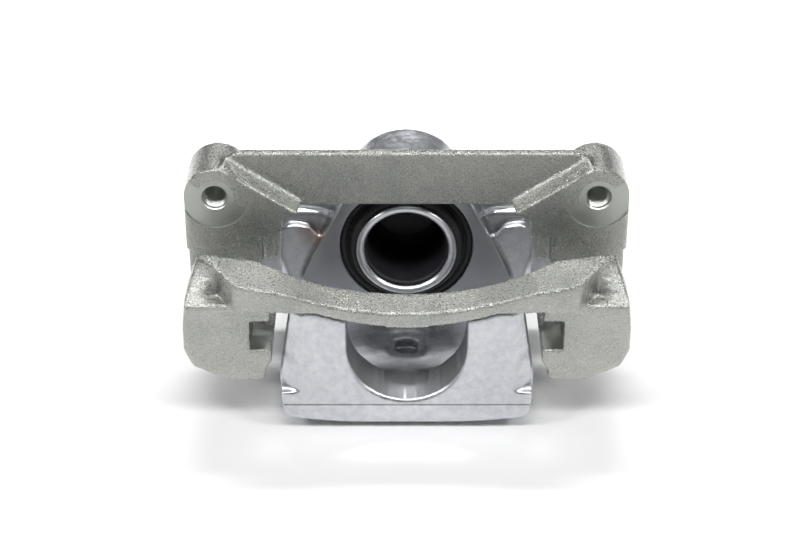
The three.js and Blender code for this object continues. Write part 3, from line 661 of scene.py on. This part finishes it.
def piston():
    """A hollow cup with a bright, chamfered rim and a groove for the dust boot."""
    length = PISTON_LENGTH
    radius = PISTON_R
    piece = lathe("piston_cup", [
        (radius - 3.9, 1.4), (radius - 3.0, 0.3), (radius - 2.6, 0), (radius - 0.7, 0), (radius, 0.7),
        (radius, 2.4), (radius - 1.5, 2.4), (radius - 1.5, 4.8), (radius, 4.8), (radius, length - 1.5),
        (radius - 1.5, length), (0, length), (0, length - 6), (radius - 8.8, length - 6),
        (radius - 4.8, length - 10), (radius - 4.8, 5.0), (radius - 3.9, 3.8),
    ], at(0, 0, 0), CHROME, segments=160)
    # The walls and floor inside the cup get the nearly black painted shade.
    piece.data.materials.append(PAINTED_SHADE_CUP)
    inside = (radius - 4.3) * MM
    for face in piece.data.polygons:
        offset = face.center - at(0, 0, 0)
        if math.hypot(offset.x, offset.z) < inside and offset.y < (length - 3) * MM:
            face.material_index = 1
    soften_edges(piece, 0.18, 2)
    finished(piece, "piston", "piston")


def dust_boot():
    """Folded rubber between the housing's seat and the piston's groove."""
    piece = lathe("dust_boot_rubber", [
        (31.6, 6.9), (31.2, 6.6), (30.0, 6.5), (29.3, 6.8), (28.8, 7.3), (28.2, 7.6), (27.6, 6.8), (27.1, 4.4),
        (26.5, 3.2), (25.7, 2.9), (25.0, 3.0), (24.3, 2.8), (22.9, 2.75), (22.9, 4.45), (24.4, 4.5),
        (25.6, 4.6), (26.0, 5.6), (26.5, 7.8), (28.0, 8.9), (29.3, 8.6), (29.7, 9.2), (29.9, 10.0), (31.6, 10.0),
    ], at(0, 0, 0), RUBBER, segments=160)
    soften_edges(piece, 0.25, 3, 20)
    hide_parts("dust_boot")
    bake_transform(piece)


def seal():
    """Square ring in the bore's groove."""
    piece = lathe("piston_seal_ring", [(24.35, 12.8), (27.0, 12.8), (27.0, 16.2), (24.35, 16.2)],
                  at(0, 0, 0), RUBBER, segments=128)
    soften_edges(piece, 0.3)
    finished(piece, "caliper", "piston_seal")


def hexagon(across):
    reach = across / 2 / math.cos(math.pi / 6)
    return [(reach * math.cos(math.pi / 3 * i), reach * math.sin(math.pi / 3 * i)) for i in range(6)]


def guide_pin(side, word):
    """A turned pin with a flange, a groove for its boot and, on one side, a seat for the bush."""
    groove = [(5.0, -37.0), (4.0, -37.0), (4.0, -25.0), (5.0, -25.0)] if side < 0 else []
    piece = lathe(f"guide_pin_{word}_turned", [
        (0, -40), (3.8, -40), (5.0, -38.8), *groove, (5.0, 20), (4.0, 20), (4.0, 23), (5.0, 23), (5.0, 23.7),
        (7.5, 23.7), (7.5, 26.7), (3.3, 26.7), (3.3, 7), (0, 5),
    ], at(side * PIN_X, 0, PIN_Z), PLATED, segments=64)
    soften_edges(piece, 0.2, 2)
    finished(piece, "caliper", f"guide_pin_{word}")


def pin_bush():
    """Rubber sleeve on the left pin's tip."""
    piece = lathe("guide_pin_bush", [(4.25, -36.7), (5.0, -36.7), (5.0, -25.3), (4.25, -25.3)],
                  at(-PIN_X, 0, PIN_Z), RUBBER, segments=64)
    soften_edges(piece, 0.15, 2)
    finished(piece, "caliper", "guide_pin_damper")


def pin_boot(side, word):
    """Bellows from the bracket's nose to the pin. Its folds follow a wave that narrows."""
    nose, neck, folds, wall = 8.3, 4.3, 3, 1.0
    nose_end, neck_start, neck_end = 9.0, 20.3, 22.7
    steps = 16 * folds
    outside, inside = [(nose + 1.7, 4.3), (nose + 1.9, 5.0), (nose + 1.9, 7.6), (nose + 1.5, 8.4)], []
    for step in range(steps + 1):
        share = step / steps
        y = nose_end + (neck_start - nose_end) * share
        middle = 8.9 - 1.6 * share
        wave = (0.95 - 0.15 * share) * math.sin(2 * math.pi * folds * share - math.pi / 2)
        outside.append((middle + wave, y))
        inside.append((max(middle + wave - wall, 5.3), y))
    outside += [(neck + 2.5, neck_start + 0.4), (neck + 2.5, neck_end)]
    inner = [(nose, 4.3), (nose, nose_end - 0.2)] + inside + [(neck, neck_start), (neck, neck_end)]
    piece = lathe(f"guide_pin_boot_{word}_bellows", outside + inner[::-1], at(side * PIN_X, 0, PIN_Z), RUBBER,
                  segments=64)
    shade(piece, 60)
    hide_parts(f"guide_pin_boot_{word}")
    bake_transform(piece)


def pin_bolt(side, word):
    """Flanged hexagon bolt through the housing's ear into the pin."""
    x = side * PIN_X
    face = EAR_Y[1] + 0.3
    piece = lathe(f"guide_pin_bolt_{word}_head", [
        (0, 9), (2.3, 9), (3.0, 9.8), (3.0, face), (7.5, face), (7.5, face + 0.7), (6.0, face + 1.7),
        (0, face + 1.7),
    ], at(x, 0, PIN_Z), PLATED, segments=64)
    head = prism("head", [(x + u, PIN_Z + v) for u, v in hexagon(11)], face + 1.0, face + 5.5, PLATED)
    crown = lathe("crown", [(0, face), (6.4, face), (6.4, face + 4.9), (5.3, face + 5.6), (0, face + 5.6)],
                  at(x, 0, PIN_Z), PLATED, segments=64)
    combine(head, [crown], "INTERSECT")
    combine(piece, [head], "UNION")
    soften_edges(piece, 0.25, 2)
    finished(piece, "caliper", f"guide_pin_bolt_{word}")


def bleeder():
    """Bleed screw: thread, hexagon and barbed nipple with a drilling."""
    origin = at(0, BLEEDER_Y, 0)
    face = BLEEDER_FACE + 0.3
    screw = lathe("bleed_screw", [
        (0, 32.5), (2.5, 32.5), (3.7, 34), (3.7, face + 0.6), (2.7, face + 1.0), (2.7, face + 8),
        (3.4, face + 9.2), (3.3, face + 9.8), (2.4, face + 13), (0.9, face + 13), (0.9, face + 2),
        (0, face + 2),
    ], origin, PLATED, BLEEDER_DIRECTION, 48)
    bm = bmesh.new()
    lower = [bm.verts.new((u * MM, v * MM, face * MM)) for u, v in hexagon(10)]
    upper = [bm.verts.new((u * MM, v * MM, (face + 5) * MM)) for u, v in hexagon(10)]
    bm.faces.new(lower[::-1])
    bm.faces.new(upper)
    for i in range(6):
        j = (i + 1) % 6
        bm.faces.new([lower[i], lower[j], upper[j], upper[i]])
    bmesh.ops.transform(bm, matrix=Matrix.Translation(origin) @ along(BLEEDER_DIRECTION), verts=bm.verts)
    flats = new_object("flats", mesh_from(bm, "flats"))
    flats.data.materials.append(PLATED)
    crown = lathe("crown", [
        (0, face - 1), (5.2, face - 1), (5.7, face + 0.5), (5.7, face + 4.4), (5.0, face + 5.1),
        (0, face + 5.1),
    ], origin, PLATED, BLEEDER_DIRECTION, 48)
    combine(flats, [crown], "INTERSECT")
    drilling = [(0, face + 1.9), (0.9, face + 1.9), (0.9, face + 14), (0, face + 14)]
    combine(flats, [lathe("hole", drilling, origin, PLATED, BLEEDER_DIRECTION, 32)], "DIFFERENCE")
    combine(screw, [flats], "UNION")
    soften_edges(screw, 0.15, 2)
    finished(screw, "bleeder", "bleeder_screw")
    start = origin + BLEEDER_DIRECTION * 34.5 * MM
    thread("bleed_screw_thread", 3.65, 0.3, 1.0, 5.5, start, BLEEDER_DIRECTION, PLATED,
           "bleeder")
    low, end = face + 5.3, face + 16
    cap = lathe("bleeder_cap_rubber", [
        (3.7, low), (5.0, low), (5.2, low + 0.3), (5.2, low + 1.7), (4.9, low + 2.2), (4.5, low + 3),
        (4.5, end - 1.6), (4.1, end - 0.5), (3.2, end), (0, end), (0, face + 13.3), (3.7, face + 13.3),
    ], origin, RUBBER, BLEEDER_DIRECTION, 64)
    soften_edges(cap, 0.25, 3)
    finished(cap, "bleeder_cap", "bleeder_cap")


# ---------------------------------------------------------------- studio

CAMERA_DISTANCE = 950.0
CAMERA_RISE = math.radians(30)
SENSOR_WIDTH = 36.0
FOCAL_LENGTH = 89.06
CAMERA_AIM = (-3.07, -3.9, -6.75)
FLOOR_HALF = 4.0                  # metres


def camera():
    """Looks down on the piston's face from the outboard side."""
    data = bpy.data.cameras.new("camera")
    data.lens = FOCAL_LENGTH
    data.sensor_width = SENSOR_WIDTH
    holder = new_object("camera", data)
    aim = at(*CAMERA_AIM)
    back = Vector((0, -math.cos(CAMERA_RISE), math.sin(CAMERA_RISE)))
    holder.location = aim + back * CAMERA_DISTANCE * MM
    holder.rotation_euler = (-back).to_track_quat("-Z", "Y").to_euler()
    bpy.context.scene.camera = holder


def softbox(name, place, power, size, target=(0, 0, 0), spread=180):
    """A rectangular light at `place`, in metres, turned to `target`, with its beam's spread in degrees."""
    data = bpy.data.lights.new(name, "AREA")
    data.shape = "RECTANGLE"
    data.size, data.size_y = size
    data.energy = power
    data.spread = math.radians(spread)
    holder = new_object(name, data)
    holder.location = Vector(place)
    holder.rotation_euler = (Vector(target) - holder.location).to_track_quat("-Z", "Y").to_euler()


def studio():
    """Pale paper floor, two small lights for the sloping ribs, a long one overhead and one aimed at the
    floor behind."""
    floor_z = cad_box[0][2] - 0.0005
    material = Finish("paper", (0.93, 0.93, 0.93), 0.0, 0.85)
    material.rough(material.ranged(material.noise(30), 0.3, 0.7, 0.8, 0.9))
    bm = bmesh.new()
    corners = ((-1, -1), (1, -1), (1, 1), (-1, 1))
    bm.faces.new([bm.verts.new((x * FLOOR_HALF, y * FLOOR_HALF, floor_z)) for x, y in corners])
    floor = new_object("paper_floor", mesh_from(bm, "paper_floor"))
    floor.data.materials.append(material.material)
    for side, word in ((-1, "left"), (1, "right")):
        softbox(word, (side * 0.85, -0.5, 0.72), 5, (0.3, 0.3))
    softbox("overhead", (0, -0.75, 1.3), 12, (1.5, 0.3))
    softbox("backdrop", (0, 1.6, 2.2), 50, (1.6, 0.8), (0, 1.3, 0), 60)
    world = bpy.data.worlds.new("studio")
    world.use_nodes = True
    world.node_tree.nodes["Background"].inputs["Color"].default_value = (0.07, 0.07, 0.07, 1)
    bpy.context.scene.world = world
    bpy.context.scene.view_settings.view_transform = "Standard"


camera()
bracket()
housing()
piston()
dust_boot()
seal()
pin_bush()
for pin_side, pin_word in ((-1, "left"), (1, "right")):
    guide_pin(pin_side, pin_word)
    pin_boot(pin_side, pin_word)
    pin_bolt(pin_side, pin_word)
bleeder()
studio()
